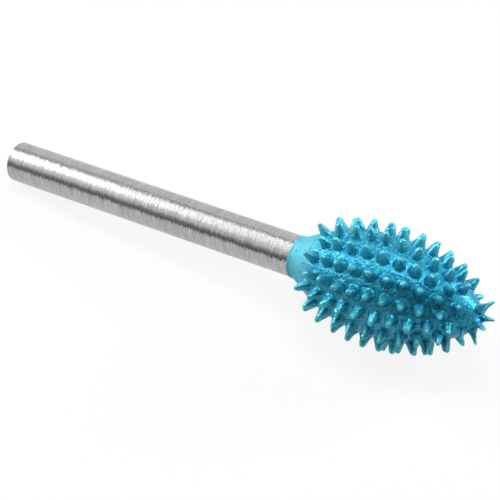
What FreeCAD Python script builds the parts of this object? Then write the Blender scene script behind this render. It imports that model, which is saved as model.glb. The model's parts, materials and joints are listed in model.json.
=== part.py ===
import FreeCAD, Part
import math
import os
import Sketcher

# Rotary rasp: a ground steel shank, and an egg-shaped head covered in thorn-like teeth.
# Both pieces are drawn along +X. Then they are laid down together as the rasp rests,
# on the edge of its tail and on the tips of its lowest teeth, with Z = 0 under them.

# Driving dimensions in millimetres, and counts. Stations are measured along the axis
# of the head from its mouth, where it meets the shank's shoulder.
dimensions = {
    "shankDiameter": 6.35,
    "shankExposed": 52.8,
    "tailChamfer": 0.4,
    "spigotDiameter": 4.5,
    "spigotLength": 12,
    "spigotChamfer": 0.4,
    "spigotEndGap": 0.5,
    "coreLength": 30.4,
    "coreRadius": 7.4,
    "equator": 14.4,
    "neckFillet": 2.5,
    "noseRadius": 2.2,
    "tapersPerArc": 3,
    "toothSides": 6,
    "toothHeight": 2.1,
    "toothRadius": 1.1,
    "toothRoot": 0.5,
    "firstRing": 5.0,
    "ringPitch": 1.21,
    "ringCount": 19,
    "ringTeeth": 8,
    "crownSetback": 1.5,
    "crownTeeth": 5,
}

# The core follows a rear arc from the neck to the equator and a front arc on to the nose.
# The rear arc touches the neck fillet and the front arc touches the round end of the nose,
# and both are level at the equator. Their radii and spans follow from that.
derivedValues = {
    "rearArc": (
        "App::PropertyFloat",
        "(Sizes.equator ^ 2 + (Sizes.shankDiameter / 2 + Sizes.neckFillet - Sizes.coreRadius) ^ 2"
        " - Sizes.neckFillet ^ 2) / (2 * Sizes.coreRadius - Sizes.shankDiameter)",
    ),
    "frontArc": (
        "App::PropertyFloat",
        "((Sizes.coreLength - Sizes.noseRadius - Sizes.equator) ^ 2 + Sizes.coreRadius ^ 2"
        " - Sizes.noseRadius ^ 2) / (2 * (Sizes.coreRadius - Sizes.noseRadius))",
    ),
    "rearSpan": (
        "App::PropertyAngle",
        "asin(Sizes.equator / (Derived.rearArc + Sizes.neckFillet))",
    ),
    "frontSpan": (
        "App::PropertyAngle",
        "asin((Sizes.coreLength - Sizes.noseRadius - Sizes.equator)"
        " / (Derived.frontArc - Sizes.noseRadius))",
    ),
}

shankRadius = "Sizes.shankDiameter / 2"
spigotRadius = "Sizes.spigotDiameter / 2"
socketDepth = "Sizes.spigotLength + Sizes.spigotEndGap"

# A sketch's own index numbers for its origin point and for its two axes
originPoint = (-1, 1)
horizontalIndex = -1
verticalIndex = -2

doc = FreeCAD.newDocument("RotaryRasp")


# Sheet of driving dimensions
def makeSheet():
    sheet = doc.addObject("Spreadsheet::Sheet", "Sizes")
    for row, (name, value) in enumerate(dimensions.items(), start=1):
        sheet.set(f"A{row}", str(value))
        sheet.setAlias(f"A{row}", name)
    doc.recompute()
    return sheet


# Radii and spans that follow from the driving dimensions
def makeDerived():
    derived = doc.addObject("App::VarSet", "Derived")
    for name, (kind, formula) in derivedValues.items():
        derived.addProperty(kind, name)
        derived.setExpression(name, formula)
    doc.recompute()


# An outline in the XZ plane, turned about X. Each corner gives formulas for X and Z, and
# a third one where the side that leaves it is an arc: its radius, minus if it is hollow.
# The corners run clockwise, seen with X to the right and Z up.
def makeTurned(name, corners):
    body = doc.addObject("PartDesign::Body", name)
    plane = next(item for item in body.Origin.OriginFeatures if item.Role == "XZ_Plane")
    sketch = body.newObject("Sketcher::SketchObject", f"{name}Outline")
    sketch.AttachmentSupport = [(plane, "")]
    sketch.MapMode = "FlatFace"
    values = [[evaluate(formula) for formula in corner] for corner in corners]
    ends = []
    for here, there in zip(values, values[1:] + values[:1]):
        ends.append(addSide(sketch, here, there))
    for side, (formulas, numbers) in enumerate(zip(corners, values)):
        start = (side, ends[side][0])
        following = (side + 1) % len(corners)
        joint = (side, ends[side][1], following, ends[following][0])
        sketch.addConstraint(Sketcher.Constraint("Coincident", *joint))
        place(sketch, "DistanceX", verticalIndex, start, formulas[0], numbers[0])
        place(sketch, "DistanceY", horizontalIndex, start, formulas[1], numbers[1])
        if len(formulas) == 3:
            bind(sketch, Sketcher.Constraint("Radius", side, abs(numbers[2])), f"abs({formulas[2]})")
    turned = body.newObject("PartDesign::Revolution", f"{name}Turned")
    turned.Profile = sketch
    turned.ReferenceAxis = (sketch, ["H_Axis"])
    turned.Angle = 360
    body.Tip = turned
    return body


def evaluate(formula):
    return float(sizes.evalExpression(formula))


def bind(sketch, constraint, formula):
    index = sketch.addConstraint(constraint)
    sketch.setExpression(f"Constraints[{index}]", formula)


# Ties a point's distance from an axis to a formula, or sets the point on that axis
def place(sketch, kind, axis, point, formula, value):
    if value == 0:
        sketch.addConstraint(Sketcher.Constraint("PointOnObject", *point, axis))
    else:
        bind(sketch, Sketcher.Constraint(kind, *originPoint, *point, value), formula)


# Adds a straight side or an arc, and says which of its points is its start and its end
def addSide(sketch, here, there):
    start = FreeCAD.Vector(here[0], here[1], 0)
    end = FreeCAD.Vector(there[0], there[1], 0)
    if len(here) == 2:
        sketch.addGeometry(Part.LineSegment(start, end), False)
        return 1, 2
    radius = here[2]
    half = (end - start) * 0.5
    inward = FreeCAD.Vector(half.y, -half.x, 0).normalize()
    reach = math.copysign(math.sqrt(radius**2 - half.Length**2), radius)
    centre = start + half + inward * reach
    first, last = [math.atan2(*reversed((corner - centre)[:2])) for corner in (start, end)]
    circle = Part.Circle(centre, FreeCAD.Vector(0, 0, 1), abs(radius))
    if radius > 0:
        sketch.addGeometry(Part.ArcOfCircle(circle, last, first), False)
        return 2, 1
    sketch.addGeometry(Part.ArcOfCircle(circle, first, last), False)
    return 1, 2


# Shank: a ground rod with a chamfered tail, turned down to a spigot that sits in the head
def makeShank():
    end = "Sizes.shankExposed + Sizes.spigotLength"
    shank = makeTurned(
        "Shank",
        [
            ("0", "0"),
            ("0", f"{shankRadius} - Sizes.tailChamfer"),
            ("Sizes.tailChamfer", shankRadius),
            ("Sizes.shankExposed", shankRadius),
            ("Sizes.shankExposed", spigotRadius),
            (f"{end} - Sizes.spigotChamfer", spigotRadius),
            (end, f"{spigotRadius} - Sizes.spigotChamfer"),
            (end, "0"),
        ],
    )
    shank.Label = "shank"
    return shank


# Core of the head: neck fillet, straight tapers turned along both arcs, round nose, and
# the blind socket for the spigot. A taper's ends are on its arc.
def makeCore():
    count = int(sizes.tapersPerArc)
    rear = [arcPoint("rear", "-", count - index) for index in range(count)]
    front = [arcPoint("front", "+", index) for index in range(count)]
    noseStart = (*arcPoint("front", "+", count), "Sizes.noseRadius")
    return makeTurned(
        "Core",
        [
            ("0", spigotRadius),
            ("0", shankRadius, "-Sizes.neckFillet"),
            *rear,
            *front,
            noseStart,
            ("Sizes.coreLength", "0"),
            (socketDepth, "0"),
            (socketDepth, spigotRadius),
        ],
    )


# The point that is so many tapers away from the equator, to the rear or to the front
def arcPoint(arc, side, tapers):
    angle = f"{tapers} * Derived.{arc}Span / Sizes.tapersPerArc"
    along = f"Sizes.equator {side} Derived.{arc}Arc * sin({angle})"
    outward = f"Sizes.coreRadius - Derived.{arc}Arc * (1 - cos({angle}))"
    return along, outward


# The tooth that all teeth copy: a pyramid from a many-sided foot up to a point
def makeToothShape():
    whole = "(Sizes.toothHeight + Sizes.toothRoot)"
    foot = doc.addObject("Part::RegularPolygon", "ToothFoot")
    foot.setExpression("Polygon", "Sizes.toothSides")
    foot.setExpression("Circumradius", f"Sizes.toothRadius * {whole} / Sizes.toothHeight")
    tip = doc.addObject("Part::Vertex", "ToothTip")
    tip.setExpression("Z", whole)
    tooth = doc.addObject("Part::Loft", "ToothShape")
    tooth.Sections = [foot, tip]
    tooth.Solid = True
    tooth.Ruled = True
    doc.recompute()
    return tooth


def placeTooth(name, shape, placement):
    tooth = doc.addObject("App::Link", name)
    tooth.LinkedObject = shape
    tooth.setExpression("Placement", placement)
    return tooth


# Teeth spread evenly about the axis at one station, square to the arc and rooted inside
# it. The first of them is rolled from the top.
def makeRing(name, shape, station, count, firstRoll):
    arc = f"({station} < Sizes.equator ? Derived.rearArc : Derived.frontArc)"
    lean = f"asin(({station} - Sizes.equator) / {arc})"
    along = f"Sizes.equator + ({arc} - Sizes.toothRoot) * sin({lean})"
    outward = f"Sizes.coreRadius - {arc} + ({arc} - Sizes.toothRoot) * cos({lean})"
    stand = f"placement(vector({along}; 0; {outward}); rotation(vector(0; 1; 0); {lean}))"
    teeth = []
    for index in range(int(getattr(sizes, count))):
        roll = f"rotation(vector(1; 0; 0); {firstRoll} + {index} * 360 / Sizes.{count})"
        turn = f"placement(vector(0; 0; 0); {roll})"
        teeth.append(placeTooth(f"{name}Tooth{index + 1}", shape, f"{turn} * {stand}"))
    return teeth


# Head: the core, rings of teeth staggered by half a gap, a crown and a spike at the nose
def makeHead():
    shape = makeToothShape()
    rings = []
    for index in range(int(sizes.ringCount)):
        station = f"(Sizes.firstRing + {index} * Sizes.ringPitch)"
        firstRoll = "90 / Sizes.ringTeeth" if index % 2 else "-90 / Sizes.ringTeeth"
        rings.append(makeRing(f"Ring{index + 1}", shape, station, "ringTeeth", firstRoll))
    crownStation = "(Sizes.coreLength - Sizes.crownSetback)"
    crown = makeRing("Crown", shape, crownStation, "crownTeeth", "0")
    onAxis = "placement(vector(Sizes.coreLength - Sizes.toothRoot; 0; 0);"
    spike = placeTooth("Spike", shape, f"{onAxis} rotation(vector(0; 1; 0); 90))")
    head = doc.addObject("Part::MultiFuse", "Head")
    head.Label = "head"
    head.Refine = False
    head.Shapes = [makeCore(), *(tooth for ring in rings for tooth in ring), *crown, spike]
    doc.recompute()
    return head, [ring[0] for ring in rings]


# Slope at which the shank's tail edge and the lowest teeth touch the ground together.
# The two lowest rows stand half a row's spacing to either side of the lowest line.
def restSlope(ringTeeth):
    besideLowest = math.radians(90 / sizes.ringTeeth)
    point = FreeCAD.Vector(0, 0, sizes.toothHeight + sizes.toothRoot)
    slopes = []
    for tooth in ringTeeth:
        tip = tooth.Placement.multVec(point)
        drop = math.hypot(tip.y, tip.z) * math.cos(besideLowest) - sizes.shankDiameter / 2
        run = sizes.shankExposed + tip.x - sizes.tailChamfer
        slopes.append(math.atan2(drop, run))
    return max(slopes)


# Placement of the whole rasp at rest, its outline centred over the origin along X
def restPlacement(slope):
    radius = sizes.shankDiameter / 2
    wholeLength = sizes.shankExposed + sizes.coreLength + sizes.toothHeight
    tail = -(radius - sizes.tailChamfer) * math.sin(slope)
    middle = (tail + wholeLength * math.cos(slope)) / 2
    lift = radius * math.cos(slope) - sizes.tailChamfer * math.sin(slope)
    noseUp = FreeCAD.Rotation(FreeCAD.Vector(0, 1, 0), -math.degrees(slope))
    return FreeCAD.Placement(FreeCAD.Vector(-middle, 0, lift), noseUp)


sizes = makeSheet()
makeDerived()
shank = makeShank()
head, ringTeeth = makeHead()
slope = restSlope(ringTeeth)
rest = restPlacement(slope)
toMouth = FreeCAD.Placement(FreeCAD.Vector(sizes.shankExposed, 0, 0), FreeCAD.Rotation())
shank.Placement = rest
head.Placement = rest * toMouth
doc.recompute()

# Every object is up to date and each piece is one valid solid before anything is written
for item in doc.Objects:
    if "Invalid" in item.State or "Error" in item.State:
        raise RuntimeError(f"{item.Name} failed: {item.State}")
for piece in (shank, head):
    if piece.Shape.isNull() or not piece.Shape.isValid():
        raise RuntimeError(f"{piece.Label} has no valid shape")
    if len(piece.Shape.Solids) != 1:
        raise RuntimeError(f"{piece.Label} is not one solid")

os.makedirs("parts", exist_ok=True)
for piece in (shank, head):
    piece.Shape.exportStep(f"parts/{piece.Label}.step")
    print(piece.Label, f"volume {piece.Shape.Volume:.1f} mm3", piece.Shape.BoundBox)
gripMiddle = FreeCAD.Vector((sizes.tailChamfer + sizes.shankExposed) / 2, 0, 0)
print("slope", round(math.degrees(slope), 4), "degrees")
print("middle of the gripped length", rest.multVec(gripMiddle))
print("direction past the tail", rest.Rotation.multVec(FreeCAD.Vector(-1, 0, 0)))
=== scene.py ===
import json
import math
import random

import bmesh
import bpy
from mathutils import Matrix, Vector, noise


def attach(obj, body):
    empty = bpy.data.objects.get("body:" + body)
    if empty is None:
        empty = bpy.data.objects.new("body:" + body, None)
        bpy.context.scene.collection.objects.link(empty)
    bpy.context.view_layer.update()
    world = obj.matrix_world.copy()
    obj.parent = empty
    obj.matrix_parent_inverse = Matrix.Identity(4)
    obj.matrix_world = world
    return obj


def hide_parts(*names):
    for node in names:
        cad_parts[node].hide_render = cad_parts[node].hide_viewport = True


# rotary rasp: ground steel shank, and an egg-shaped head covered in thorn-like teeth under a teal coat
# the head is drawn in millimetres along X from its mouth, then laid down on the shank's line

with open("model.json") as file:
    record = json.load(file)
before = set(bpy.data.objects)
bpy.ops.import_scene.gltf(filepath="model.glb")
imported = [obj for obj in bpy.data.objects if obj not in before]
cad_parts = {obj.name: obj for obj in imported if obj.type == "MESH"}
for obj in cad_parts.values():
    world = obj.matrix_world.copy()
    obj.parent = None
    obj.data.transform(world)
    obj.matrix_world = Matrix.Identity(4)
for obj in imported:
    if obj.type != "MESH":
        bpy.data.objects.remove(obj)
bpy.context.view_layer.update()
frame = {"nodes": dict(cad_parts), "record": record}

grip = next(mount for mount in frame["record"]["mounts"] if mount["name"] == "shank_grip")
lineForward = -Vector(grip["axis"])  # from the tail to the nose
mouth = Vector(grip["pos_m"]) + lineForward * grip["dims"]["length_mm"] / 2000  # half the gripped length on
noseUp = math.atan2(lineForward.z, lineForward.x)
layDown = Matrix.Translation(mouth) @ Matrix.Rotation(-noseUp, 4, "Y") @ Matrix.Scale(0.001, 4)


def toLinear(hexCode):
    channels = [int(hexCode[i:i + 2], 16) / 255 for i in (1, 3, 5)]
    return (*[c / 12.92 if c < 0.04045 else ((c + 0.055) / 1.055) ** 2.4 for c in channels], 1)


def addNode(tree, kind, inputs=None, **settings):
    node = tree.nodes.new(kind)
    for name, value in settings.items():
        setattr(node, name, value)
    for socket, value in (inputs or {}).items():
        if isinstance(value, bpy.types.NodeSocket):
            tree.links.new(value, node.inputs[socket])
        else:
            node.inputs[socket].default_value = value
    return node


def startMaterial(name):
    material = bpy.data.materials.new(name)
    material.use_nodes = True
    material.node_tree.nodes.clear()
    return material, material.node_tree


# millimetres along the tool's own line, X from the mouth, so a pattern can follow its length and its girth
def toolPlace(tree):
    place = addNode(tree, "ShaderNodeTexCoord").outputs["Object"]
    turned = addNode(tree, "ShaderNodeMapping", {
        "Vector": place,
        "Location": tuple(mouth),
        "Rotation": (0, -noseUp, 0),
        "Scale": (0.001, 0.001, 0.001),
    }, vector_type="TEXTURE")
    return turned.outputs["Vector"]


# ground carbon steel, finished by a wheel across the turning rod: fine marks run round it,
# so lamps show as long bands along it with ragged edges
groundSteel = {
    "light": "#c2c3c4",
    "dark": "#949596",
    "markWidth": 0.1,  # mm along the rod, coarser than real grinding so that it shows
    "markLength": 2.6,  # mm round the rod
    "sweepWidth": 0.3,  # wider marks under the fine ones
    "sweepLength": 8,
    "waver": 0.14,  # how far a mark turns the surface round the rod
    "sweepShare": 0.3,
    "streakSpan": (0.45, 0.85),  # from the dark streaks to the light ones
    "roughness": (0.2, 0.34),
    "anisotropy": 0.7,
    "depth": 0.006,  # mm
}


def makeGroundSteel():
    form = groundSteel
    material, tree = startMaterial("groundSteel")
    place = toolPlace(tree)
    marks = addNode(tree, "ShaderNodeMapping", {
        "Vector": place,
        "Scale": (1 / form["markWidth"], 1 / form["markLength"], 1 / form["markLength"]),
    }).outputs["Vector"]
    fine = addNode(tree, "ShaderNodeTexNoise", {
        "Vector": marks, "Scale": 1, "Detail": 3, "Roughness": 0.6,
    }).outputs["Fac"]
    shifted = addNode(tree, "ShaderNodeMapping", {"Vector": marks, "Location": (37, 11, 5)}).outputs["Vector"]
    slant = addNode(tree, "ShaderNodeTexNoise", {
        "Vector": shifted, "Scale": 1, "Detail": 2, "Roughness": 0.7,
    }).outputs["Fac"]
    wide = addNode(tree, "ShaderNodeMapping", {
        "Vector": place,
        "Scale": (1 / form["sweepWidth"], 1 / form["sweepLength"], 1 / form["sweepLength"]),
    }).outputs["Vector"]
    sweeps = addNode(tree, "ShaderNodeTexNoise", {
        "Vector": wide, "Scale": 1, "Detail": 2, "Roughness": 0.5,
    }).outputs["Fac"]
    mixed = addNode(tree, "ShaderNodeMath", {
        0: sweeps, 1: form["sweepShare"], 2: fine,
    }, operation="MULTIPLY_ADD")
    streak = addNode(tree, "ShaderNodeMapRange", {
        "Value": mixed.outputs[0], "From Min": form["streakSpan"][0], "From Max": form["streakSpan"][1],
    }).outputs[0]
    colour = addNode(tree, "ShaderNodeMix", {
        "Factor": streak, "A": toLinear(form["dark"]), "B": toLinear(form["light"]),
    }, data_type="RGBA")
    roughness = addNode(tree, "ShaderNodeMapRange", {
        "Value": streak, "To Min": form["roughness"][1], "To Max": form["roughness"][0],
    })
    # the way round the rod, square to its line and to the surface
    surface = addNode(tree, "ShaderNodeNewGeometry").outputs["Normal"]
    girth = addNode(tree, "ShaderNodeVectorMath", {
        0: tuple(lineForward), 1: surface,
    }, operation="CROSS_PRODUCT").outputs[0]
    along = addNode(tree, "ShaderNodeVectorMath", {
        0: surface, 1: girth,
    }, operation="CROSS_PRODUCT").outputs[0]
    bump = addNode(tree, "ShaderNodeBump", {
        "Height": streak, "Distance": form["depth"] / 1000, "Strength": 1,
    })
    turn = addNode(tree, "ShaderNodeMapRange", {
        "Value": slant, "From Min": 0.25, "From Max": 0.75, "To Min": -form["waver"], "To Max": form["waver"],
    }).outputs[0]
    turned = addNode(tree, "ShaderNodeVectorMath", {
        0: girth, 1: turn, 2: bump.outputs["Normal"],
    }, operation="MULTIPLY_ADD").outputs[0]
    wavering = addNode(tree, "ShaderNodeVectorMath", {0: turned}, operation="NORMALIZE").outputs[0]
    steel = addNode(tree, "ShaderNodeBsdfPrincipled", {
        "Base Color": colour.outputs["Result"],
        "Metallic": 1,
        "Roughness": roughness.outputs[0],
        "Anisotropic": form["anisotropy"],
        "Tangent": along,
        "Normal": wavering,
    })
    addNode(tree, "ShaderNodeOutputMaterial", {"Surface": steel.outputs["BSDF"]})
    return material


# satin metallic enamel baked over brazed steel grit: a saturated teal that stays teal in its highlights,
# crumbly all over from the grit under it, smooth and pitted on the neck; the paler tips and neck are painted
# light, and the darker bluer hollows are pooled enamel with painted shade
tealEnamel = {
    "coat": "#45bdcd",
    # colour of the hollows of the relief: thicker pooled enamel, darkened further as painted shade
    "pooledShade": "#128ab4",
    # painted light: a paler colour on the tops of the teeth
    "tips": "#5accdc",
    # painted light: a paler colour over the neck
    "neck": "#70d0df",
    "shine": "#b4e4ee",  # colour of the shine at the edges
    "lumpSize": 0.9,  # mm
    "gritSize": 0.34,  # mm between grains
    "wrinkleSize": 0.16,  # mm
    "pitSpacing": 0.9,  # mm
    "depth": 0.2,  # mm, of all relief together, which the shares below divide
    "lumpShare": 0.5,
    "wrinkleShare": 0.15,
    "pitShare": 0.4,
    "pitEdge": (0.08, 0.26),
    "gritShares": (0.27, 0.09),  # towards the neck and towards the nose
    "gritFade": (14, 25),  # mm from the mouth, where the first share turns into the second
    "gritStart": (2.5, 6.5),  # mm from the mouth
    "flankShare": 0.12,  # of the grit, left on the flanks of the teeth
    "tipShare": 0.55,
    "neckEnd": (3, 6),  # mm from the mouth
    "neckShare": 0.8,
    "neckRoughness": 0.42,
    "metallic": 0.5,
    "shineLevel": 0.45,
    "gloss": 0.12,  # clear top of the coat, away from the neck
    "glossRoughness": 0.2,
    "roughness": (0.25, 0.4),
}


def makeTealEnamel():
    form = tealEnamel
    material, tree = startMaterial("tealEnamel")
    place = toolPlace(tree)
    rise = addNode(tree, "ShaderNodeAttribute", attribute_name="rise").outputs["Fac"]
    station = addNode(tree, "ShaderNodeSeparateXYZ", {"Vector": place}).outputs["X"]
    lumps = addNode(tree, "ShaderNodeTexNoise", {
        "Vector": place, "Scale": 1 / form["lumpSize"], "Detail": 2, "Roughness": 0.6, "Distortion": 0.4,
    }).outputs["Fac"]
    gritDistance = addNode(tree, "ShaderNodeTexVoronoi", {
        "Vector": place, "Scale": 1 / form["gritSize"], "Smoothness": 0.35,
    }, feature="SMOOTH_F1").outputs["Distance"]
    grit = addNode(tree, "ShaderNodeMapRange", {
        "Value": gritDistance, "From Min": 0.65, "From Max": 0.1,
    }).outputs[0]
    wrinkles = addNode(tree, "ShaderNodeTexNoise", {
        "Vector": place, "Scale": 1 / form["wrinkleSize"], "Detail": 1, "Roughness": 0.5, "Distortion": 0.6,
    }).outputs["Fac"]
    pitDistance = addNode(tree, "ShaderNodeTexVoronoi", {
        "Vector": place, "Scale": 1 / form["pitSpacing"], "Randomness": 1,
    }).outputs["Distance"]
    pits = addNode(tree, "ShaderNodeMapRange", {
        "Value": pitDistance, "From Min": form["pitEdge"][0], "From Max": form["pitEdge"][1],
    }, interpolation_type="SMOOTHSTEP").outputs[0]
    # the grit thins out towards both ends and on the flanks of the teeth, and the tips are crumbly with it
    neckward = addNode(tree, "ShaderNodeMapRange", {
        "Value": station, "From Min": form["gritStart"][0], "From Max": form["gritStart"][1],
    }).outputs[0]
    noseward = addNode(tree, "ShaderNodeMapRange", {
        "Value": station, "From Min": form["gritFade"][0], "From Max": form["gritFade"][1],
        "To Min": form["gritShares"][0], "To Max": form["gritShares"][1],
    }).outputs[0]
    offTeeth = addNode(tree, "ShaderNodeMapRange", {
        "Value": rise, "From Min": 0.45, "From Max": 0, "To Min": form["flankShare"],
    }).outputs[0]
    onTips = addNode(tree, "ShaderNodeMapRange", {
        "Value": rise, "From Min": 0.55, "From Max": 0.95, "To Max": form["tipShare"],
    }).outputs[0]
    gritted = addNode(tree, "ShaderNodeMath", {0: noseward, 1: neckward}, operation="MULTIPLY").outputs[0]
    gritShare = addNode(tree, "ShaderNodeMath", {
        0: gritted, 1: offTeeth, 2: onTips,
    }, operation="MULTIPLY_ADD").outputs[0]
    crumbs = addNode(tree, "ShaderNodeMath", {0: grit, 1: gritShare}, operation="MULTIPLY").outputs[0]
    rough = addNode(tree, "ShaderNodeMath", {
        0: lumps, 1: form["lumpShare"], 2: crumbs,
    }, operation="MULTIPLY_ADD").outputs[0]
    wrinkled = addNode(tree, "ShaderNodeMath", {
        0: wrinkles, 1: form["wrinkleShare"], 2: rough,
    }, operation="MULTIPLY_ADD").outputs[0]
    height = addNode(tree, "ShaderNodeMath", {
        0: pits, 1: form["pitShare"], 2: wrinkled,
    }, operation="MULTIPLY_ADD").outputs[0]
    # darker, bluer colour in the low places of the relief, partly pooled enamel and partly painted shade
    pooledShade = addNode(tree, "ShaderNodeMapRange", {
        "Value": rough, "From Min": 0.2, "From Max": 0.5,
    }).outputs[0]
    colour = addNode(tree, "ShaderNodeMix", {
        "Factor": pooledShade, "A": toLinear(form["pooledShade"]), "B": toLinear(form["coat"]),
    }, data_type="RGBA")
    # painted light: the teeth turn paler from the foot to the tip
    tipLightMask = addNode(tree, "ShaderNodeMapRange", {"Value": rise, "From Min": 0.2, "From Max": 0.85}).outputs[0]
    tipLit = addNode(tree, "ShaderNodeMix", {
        "Factor": tipLightMask, "A": colour.outputs["Result"], "B": toLinear(form["tips"]),
    }, data_type="RGBA")
    neckShare = addNode(tree, "ShaderNodeMapRange", {
        "Value": station, "From Min": form["neckEnd"][0], "From Max": form["neckEnd"][1],
        "To Min": form["neckShare"], "To Max": 0,
    }).outputs[0]
    # painted light on the neck, left out of the pits so that they stay darker
    neckLightOffPits = addNode(tree, "ShaderNodeMath", {0: neckShare, 1: pits}, operation="MULTIPLY").outputs[0]
    coloured = addNode(tree, "ShaderNodeMix", {
        "Factor": neckLightOffPits, "A": tipLit.outputs["Result"], "B": toLinear(form["neck"]),
    }, data_type="RGBA")
    roughness = addNode(tree, "ShaderNodeMapRange", {
        "Value": wrinkles, "From Min": 0.3, "From Max": 0.7,
        "To Min": form["roughness"][0], "To Max": form["roughness"][1],
    }).outputs[0]
    roughness = addNode(tree, "ShaderNodeMath", {
        0: neckShare, 1: form["neckRoughness"], 2: roughness,
    }, operation="MULTIPLY_ADD")
    gloss = addNode(tree, "ShaderNodeMath", {0: neckward, 1: form["gloss"]}, operation="MULTIPLY")
    bump = addNode(tree, "ShaderNodeBump", {
        "Height": height, "Distance": form["depth"] / 1000, "Strength": 1,
    })
    enamel = addNode(tree, "ShaderNodeBsdfPrincipled", {
        "Base Color": coloured.outputs["Result"],
        "Metallic": form["metallic"],
        "Roughness": roughness.outputs[0],
        "IOR": 1.5,
        "Specular IOR Level": form["shineLevel"],
        "Specular Tint": toLinear(form["shine"]),
        "Coat Weight": gloss.outputs[0],
        "Coat Roughness": form["glossRoughness"],
        "Normal": bump.outputs["Normal"],
        "Coat Normal": bump.outputs["Normal"],
    })
    addNode(tree, "ShaderNodeOutputMaterial", {"Surface": enamel.outputs["BSDF"]})
    return material


# core of the head: neck fillet, rear and front arcs, round nose, and the socket for the spigot
core = {
    "mouthRadius": 3.175,
    "coatThickness": 0.07,
    "fillet": 2.5,
    "radius": 7.4,
    "equator": 14.4,
    "length": 30.4,
    "nose": 2.2,
    "socketRadius": 2.25,
    "socketDepth": 12.5,
    "neckStations": (0.55, 1.2, 2.0, 2.9),
    "noseStations": (28.85, 29.6, 30.15),
    "unevenness": 0.09,
    "evenNeck": 1,  # mm from the mouth
    "lip": 0.01,  # mm that the rounded edge of the coat stands off
    "lipStations": (0.05, 0.25),
}
equatorToNose = core["length"] - core["nose"] - core["equator"]
rearArc = (
    core["equator"] ** 2 + (core["mouthRadius"] + core["fillet"] - core["radius"]) ** 2 - core["fillet"] ** 2
) / (2 * (core["radius"] - core["mouthRadius"]))
frontArc = (
    equatorToNose ** 2 + core["radius"] ** 2 - core["nose"] ** 2
) / (2 * (core["radius"] - core["nose"]))
filletEnd = core["fillet"] * core["equator"] / (rearArc + core["fillet"])
noseStart = core["equator"] + frontArc * equatorToNose / (frontArc - core["nose"])

# teeth: thorns with a wide foot that flows into the core, hollow flanks and a blunt tip
teeth = {
    "firstRing": 5.0,
    "ringPitch": 1.21,
    "ringCount": 19,
    "perRing": 8,
    "foot": 1.3,
    "rings": [(1.1, 0.2), (0.86, 0.65), (0.64, 1.25), (0.38, 1.97)],  # radius, height in mm before rounding
    "inset": 0.1,
    "narrow": 0.72,  # width of the teeth nearest the nose
    "narrowSpan": (3, 6),  # radius of the core in mm, over which the teeth reach their full width
    "room": 0.93,  # share of half the gap to the next row that a tooth may fill
    "heights": (0.95, 1.02),
    "widths": (0.94, 1.06),
    "knobs": 0.3,
    "knobSize": 0.5,
    "stray": 0.09,
    "bend": 0.1,
    "backRings": 3,  # the rearmost rings lean back and stand taller
    "backLean": 10,
    "backGrowth": 0.06,
    "seed": 11,
    # by the roll of a row: the ring it starts from, how many mm it moves forward, and its stretch
    "rowShift": {33.75: (2, 0.6, 0), 123.75: (8, 0, -0.06), 146.25: (9, 0.6, -0.06)},
}

# slender thorns round the nose, each with its roll, its lean from the tool's line and its height
crown = {
    "thorns": [
        (352, 50, 1.8),
        (74, 34, 2.0),
        (134, 58, 2.1),
        (202, 64, 1.8),
        (282, 56, 2.0),
        (5, 12, 2.0),
        (100, 80, 2.0),
    ],
    "rings": [(0.82, -0.02), (0.5, 0.5), (0.33, 1.15), (0.2, 2.0)],
    "foot": (1.25, -0.5),
    "room": 2,
}


# radius of the core at a station, and how far its surface leans towards the nose there
def coreAt(station):
    if station < filletEnd:
        back = max(station, 0)
        dip = math.sqrt(core["fillet"] ** 2 - back ** 2)
        return core["mouthRadius"] + core["fillet"] - dip, -math.asin(back / core["fillet"])
    if station < noseStart:
        arc = rearArc if station < core["equator"] else frontArc
        lean = math.asin((station - core["equator"]) / arc)
        return core["radius"] - arc * (1 - math.cos(lean)), lean
    forward = min(station - core["length"] + core["nose"], core["nose"] * 0.999)
    return math.sqrt(core["nose"] ** 2 - forward ** 2), math.asin(forward / core["nose"])


def ringStation(ring):
    return teeth["firstRing"] + ring * teeth["ringPitch"]


def ringOf(point):
    return (point.x - teeth["firstRing"]) / teeth["ringPitch"]


# number of the strip of faces that a point lies in, counted round from the top
def stripOf(point):
    roll = math.degrees(math.atan2(-point.y, point.z))
    return round((roll + 90 / teeth["perRing"]) / (180 / teeth["perRing"]))


def nearSocket(point):
    return point.yz.length < core["socketRadius"] + 0.5


# cage of the core: one strip of faces for each row of teeth and one ring of points for each ring of teeth
def makeCage():
    strips = teeth["perRing"] * 2
    rounding = (2 + math.cos(2 * math.pi / strips)) / 3  # how far the subdivision draws a ring of points in
    wall = core["mouthRadius"]
    coated = wall + core["coatThickness"]
    outline = [  # end of the socket, its mouth, the shoulder and the edge of the coat
        (core["socketDepth"], 0),
        (core["socketDepth"], core["socketRadius"] * 0.93),
        (core["socketDepth"] * 0.97, core["socketRadius"]),
        (0.3, core["socketRadius"]),
        (0, core["socketRadius"] * 1.05),
        (0, wall * 0.97),
        (0, coated - core["lip"]),
    ]
    outline += [(station, coated + core["lip"]) for station in core["lipStations"]]
    onCore = [*core["neckStations"]]
    onCore += [ringStation(ring) for ring in range(-1, teeth["ringCount"] + 1)]
    onCore += [*core["noseStations"]]
    outline += [(station, coreAt(station)[0]) for station in onCore]
    outline += [(core["length"], 0)]
    bm = bmesh.new()
    last = bm.verts.new((outline[0][0], 0, 0))
    for station, radius in outline[1:]:
        last = bmesh.ops.extrude_vert_indiv(bm, verts=[last])["verts"][0]
        last.co = (station, 0, radius / rounding)
    bmesh.ops.spin(
        bm, geom=bm.verts[:] + bm.edges[:], cent=(0, 0, 0), axis=(1, 0, 0),
        angle=2 * math.pi, steps=strips, use_merge=True,
    )
    bmesh.ops.remove_doubles(bm, verts=bm.verts, dist=0.001)
    bmesh.ops.recalc_face_normals(bm, faces=bm.faces)
    return bm


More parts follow.
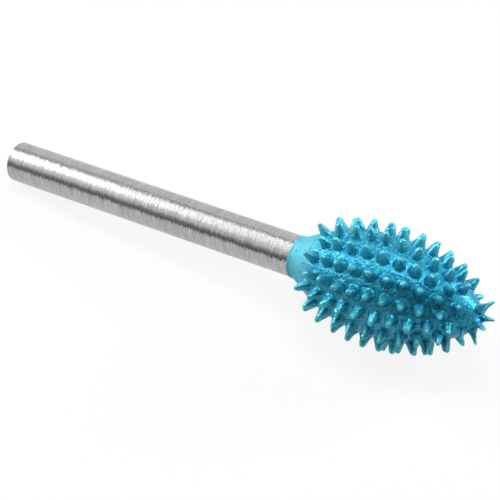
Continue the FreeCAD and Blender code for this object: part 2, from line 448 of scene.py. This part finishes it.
# joins two faces of a strip into one six-sided cell for each tooth, staggered from strip to strip
def openCells(bm):
    joins = []
    for edge in bm.edges:
        start, end = [vert.co for vert in edge.verts]
        middle = (start + end) / 2
        ring = ringOf(start)
        if abs(start.x - end.x) > 0.01 or abs(ring - round(ring)) > 0.01 or nearSocket(middle):
            continue
        if 0 <= round(ring) < teeth["ringCount"] and (round(ring) - stripOf(middle)) % 2 == 0:
            joins.append(edge)
    bmesh.ops.dissolve_edges(bm, edges=joins, use_verts=False)
    places = {face: face.calc_center_median() for face in bm.faces if len(face.verts) == 6}
    # in a fixed order, so that chance gives each tooth the same in every run
    return sorted(places, key=lambda face: (round(ringOf(places[face])), stripOf(places[face])))


# where a tooth stands, and what sets it apart from its neighbours
def chooseTooth(station, roll, chance, back):
    station += chance.gauss(0, teeth["stray"])
    roll += math.degrees(chance.gauss(0, teeth["stray"]) / core["radius"])
    radius, slope = coreAt(station)
    tipLightMask, full = teeth["narrowSpan"]
    narrowed = teeth["narrow"] + (1 - teeth["narrow"]) * (radius - tipLightMask) / (full - tipLightMask)
    stand = (
        Matrix.Rotation(math.radians(roll), 4, "X")
        @ Matrix.Translation((station, 0, radius))
        @ Matrix.Rotation(slope - math.radians(teeth["backLean"] * back), 4, "Y")
    )
    return {
        "stand": stand,
        "height": chance.uniform(*teeth["heights"]) * (1 + teeth["backGrowth"] * back),
        "width": chance.uniform(*teeth["widths"]) * min(1, narrowed),
        "bend": Vector([chance.gauss(0, teeth["bend"]) for _ in range(2)]),
        "seed": Vector([chance.uniform(0, 100) for _ in range(3)]),
        "room": radius * math.sin(math.radians(90 / teeth["perRing"])) * teeth["room"],
    }


# sets the six corners of a tooth's top face at one height of the tooth
def shapeRing(face, tooth, radius, height, rise):
    inverse = tooth["stand"].inverted()
    corners = sorted(face.verts, key=lambda vert: math.atan2(*(inverse @ vert.co).yx))
    share = max(0, height / teeth["rings"][-1][1])
    for index, vert in enumerate(corners):
        angle = math.radians(60 * index - 150)
        local = Vector((math.cos(angle), math.sin(angle), 0)) * radius * tooth["width"]
        local.y = max(-tooth["room"], min(tooth["room"], local.y))
        local.z = height * tooth["height"]
        knob = 1 + teeth["knobs"] * noise.noise(local / teeth["knobSize"] + tooth["seed"]) * (height > 0)
        local.x = local.x * knob + tooth["bend"].x * share ** 2
        local.y = local.y * knob + tooth["bend"].y * share ** 2
        vert.co = tooth["stand"] @ local
        vert[rise] = share
        if height == 0:
            vert.co.yz = vert.co.yz.normalized() * coreAt(vert.co.x)[0]


# a closed foot inside the nose, from which one thorn of the crown grows
def startThorn(bm, thorn, grown, number, chance):
    roll, lean, height = thorn
    ball = Matrix.Translation((core["length"] - core["nose"], 0, 0))
    stand = (
        ball @ Matrix.Rotation(math.radians(roll), 4, "X") @ Matrix.Rotation(math.radians(90 - lean), 4, "Y")
        @ Matrix.Translation((0, 0, core["nose"]))
    )
    radius, depth = crown["foot"]
    place = stand @ Matrix.Translation((0, 0, depth))
    disc = bmesh.ops.create_circle(bm, cap_ends=True, segments=6, radius=radius, matrix=place)
    foot = disc["verts"][0].link_faces[0]
    foot[number] = len(grown)
    grown.append({
        "stand": stand,
        "height": height / crown["rings"][-1][1],
        "width": chance.uniform(*teeth["widths"]),
        "bend": Vector((0, 0)),
        "seed": Vector([chance.uniform(0, 100) for _ in range(3)]),
        "room": crown["room"],
    })
    return foot


def makeHead():
    bm = makeCage()
    rise = bm.verts.layers.float.new("rise")
    number = bm.faces.layers.int.new("number")
    chance = random.Random(teeth["seed"])
    cells = openCells(bm)
    print("core made:", len(bm.faces), "faces,", len(cells), "teeth to grow")
    for vert in bm.verts:
        if vert.co.x > core["evenNeck"] and not nearSocket(vert.co):
            vert.co += vert.normal * noise.noise(vert.co) * core["unevenness"]
    bmesh.ops.inset_individual(bm, faces=cells, thickness=teeth["inset"], use_even_offset=True)
    grown = []
    for face in cells:
        middle = face.calc_center_median()
        ring = round(ringOf(middle))
        roll = (stripOf(middle) * 2 - 1) * 90 / teeth["perRing"]
        start, forward, stretch = teeth["rowShift"].get(roll, (0, 0, 0))
        shift = (forward + stretch * (middle.x - core["equator"])) * (ring >= start)
        face[number] = len(grown)
        back = max(0, 1 - ring / teeth["backRings"])
        grown.append(chooseTooth(ringStation(ring) + shift, roll, chance, back))
        shapeRing(face, grown[-1], teeth["foot"], 0, rise)
    feet = [startThorn(bm, thorn, grown, number, chance) for thorn in crown["thorns"]]
    for cells, rings in [(cells, teeth["rings"]), (feet, crown["rings"])]:
        for radius, height in rings:
            cells = bmesh.ops.extrude_discrete_faces(bm, faces=cells)["faces"]
            for face in cells:
                shapeRing(face, grown[face[number]], radius, height, rise)
    bmesh.ops.holes_fill(bm, edges=[edge for edge in bm.edges if edge.is_boundary], sides=6)
    bmesh.ops.recalc_face_normals(bm, faces=bm.faces)
    bm.transform(layDown)
    mesh = bpy.data.meshes.new("thornHead")
    bm.to_mesh(mesh)
    bm.free()
    for polygon in mesh.polygons:
        polygon.use_smooth = True
    mesh.materials.append(makeTealEnamel())
    head = bpy.data.objects.new("thornHead", mesh)
    bpy.context.scene.collection.objects.link(head)
    rounded = head.modifiers.new("rounded", "SUBSURF")
    rounded.levels = rounded.render_levels = 2
    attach(head, "root")
    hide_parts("head")
    print("head made:", len(mesh.polygons), "faces before rounding")
    return head


# plain white table, which throws back less light than a white one would
studio = {
    "floor": "#ffffff",
    "floorBounce": "#585858",
    "floorSize": 6,
    "floorRoughness": 0.8,
    "background": 1.0,
    "ambient": 0.03,
    "backgroundShare": 0.88,  # of the floor's look that is plain white, the rest taking shadows
}


# 1 where the camera, a reflection or a clear piece shows the surface, and 0 where it only lights others
def addLightPath(tree):
    rays = addNode(tree, "ShaderNodeLightPath").outputs
    seen = addNode(tree, "ShaderNodeMath", {
        0: rays["Is Camera Ray"], 1: rays["Is Glossy Ray"],
    }, operation="MAXIMUM")
    shown = addNode(tree, "ShaderNodeMath", {
        0: seen.outputs[0], 1: rays["Is Transmission Ray"],
    }, operation="MAXIMUM")
    return shown.outputs[0]


def makeStudio():
    world = bpy.data.worlds.new("studio")
    bpy.context.scene.world = world
    world.use_nodes = True
    tree = world.node_tree
    tree.nodes.clear()
    strength = addNode(tree, "ShaderNodeMapRange", {
        "Value": addLightPath(tree), "To Min": studio["ambient"], "To Max": studio["background"],
    })
    backdrop = addNode(tree, "ShaderNodeBackground", {"Color": (1, 1, 1, 1), "Strength": strength.outputs[0]})
    addNode(tree, "ShaderNodeOutputWorld", {"Surface": backdrop.outputs[0]})

    bm = bmesh.new()
    bmesh.ops.create_grid(bm, x_segments=1, y_segments=1, size=studio["floorSize"] / 2)
    mesh = bpy.data.meshes.new("floor")
    bm.to_mesh(mesh)
    bm.free()
    floor = bpy.data.objects.new("floor", mesh)
    bpy.context.scene.collection.objects.link(floor)
    material, tree = startMaterial("whiteTable")
    seen = addLightPath(tree)
    paint = addNode(tree, "ShaderNodeMix", {
        "Factor": seen, "A": toLinear(studio["floorBounce"]), "B": toLinear(studio["floor"]),
    }, data_type="RGBA").outputs["Result"]
    matt = addNode(tree, "ShaderNodeBsdfPrincipled", {
        "Base Color": paint, "Roughness": studio["floorRoughness"],
    })
    glow = addNode(tree, "ShaderNodeEmission", {"Color": (1, 1, 1, 1), "Strength": 1})
    share = addNode(tree, "ShaderNodeMath", {0: seen, 1: studio["backgroundShare"]}, operation="MULTIPLY")
    shown = addNode(tree, "ShaderNodeMixShader", {
        0: share.outputs[0], 1: matt.outputs[0], 2: glow.outputs[0],
    })
    addNode(tree, "ShaderNodeOutputMaterial", {"Surface": shown.outputs[0]})
    mesh.materials.append(material)


# soft boxes in metres, facing the tool; glow is how bright the box itself is, a white surface being 1
lamps = {
    "topBox": {"place": (-0.5, -0.069, 0.525), "size": (1.3, 0.552), "glow": 0.3, "alongTool": True},
    "slopeBox": {"place": (-0.4, -0.4, 0.348), "size": (1.1, 0.225), "glow": 0.15, "alongTool": True},
    "keyBox": {"place": (-0.02, 0.16, 0.67), "size": (0.34, 0.34), "glow": 8.5, "alongTool": False},
    "leftBox": {"place": (-0.59, -0.03, 0.31), "size": (0.3, 0.3), "glow": 9, "alongTool": False},
    "rightBox": {"place": (0.4, 0.48, 0.34), "size": (0.25, 0.25), "glow": 12, "alongTool": False},
}


# a frame at the place of a lamp or card, facing the tool's middle or its whole length
def facingTool(form):
    away = Vector(form["place"])
    if form["alongTool"]:
        away -= lineForward.dot(away) * lineForward
    away.normalize()
    along = (lineForward - lineForward.dot(away) * away).normalized()
    return Matrix.Translation(form["place"]) @ Matrix((along, away.cross(along), away)).transposed().to_4x4()


def makeLamps():
    for name, form in lamps.items():
        width, height = form["size"]
        lamp = bpy.data.lights.new(name, "AREA")
        lamp.shape = "RECTANGLE"
        lamp.size = width
        lamp.size_y = height
        lamp.energy = form["glow"] * math.pi * width * height
        box = bpy.data.objects.new(name, lamp)
        bpy.context.scene.collection.objects.link(box)
        box.matrix_world = facingTool(form)
        box.visible_camera = False


# unlit cards: the shank shows the long ones as bands,
# and a dark one behind the camera keeps the fronts of the teeth dark
cards = {
    "paleCard": {"place": (-0.4, -0.49, 0.2), "size": (1.4, 0.17), "shade": "#a0a0a0", "alongTool": True},
    "frontCard": {"place": (-0.4, -0.527, 0.055), "size": (1.6, 0.13), "shade": "#121212", "alongTool": True},
    "backCard": {"place": (-0.4, 0.232, 0.476), "size": (1.4, 0.11), "shade": "#303030", "alongTool": True},
    "cameraCard": {
        "place": (0.186, -0.329, 0.404), "size": (0.74, 1.3), "shade": "#181818", "alongTool": False,
    },
}


def makeCards():
    for name, form in cards.items():
        material, tree = startMaterial(name)
        card = addNode(tree, "ShaderNodeEmission", {"Color": toLinear(form["shade"])})
        addNode(tree, "ShaderNodeOutputMaterial", {"Surface": card.outputs[0]})
        bm = bmesh.new()
        bmesh.ops.create_grid(bm, x_segments=1, y_segments=1, size=0.5)
        bmesh.ops.scale(bm, verts=bm.verts, vec=(*form["size"], 1))
        bm.transform(facingTool(form))
        mesh = bpy.data.meshes.new(name)
        bm.to_mesh(mesh)
        bm.free()
        mesh.materials.append(material)
        sheet = bpy.data.objects.new(name, mesh)
        bpy.context.scene.collection.objects.link(sheet)
        sheet.visible_camera = False


camera = {"place": (0.107125, -0.153237, 0.197035), "turn": (44.0465, 2.3774, 32.0357), "lens": 128.07}


def makeCamera():
    data = bpy.data.cameras.new("photoCamera")
    data.sensor_width = 36
    data.lens = camera["lens"]
    data.clip_start = 0.01
    data.clip_end = 20
    eye = bpy.data.objects.new("photoCamera", data)
    bpy.context.scene.collection.objects.link(eye)
    eye.location = camera["place"]
    eye.rotation_euler = [math.radians(angle) for angle in camera["turn"]]
    bpy.context.scene.camera = eye


makeHead()
shank = frame["nodes"]["shank"]
shank.data.materials.clear()
shank.data.materials.append(makeGroundSteel())
print("shank dressed")
makeStudio()
makeLamps()
makeCards()
makeCamera()
bpy.context.scene.view_settings.view_transform = "Standard"
print("studio lit")
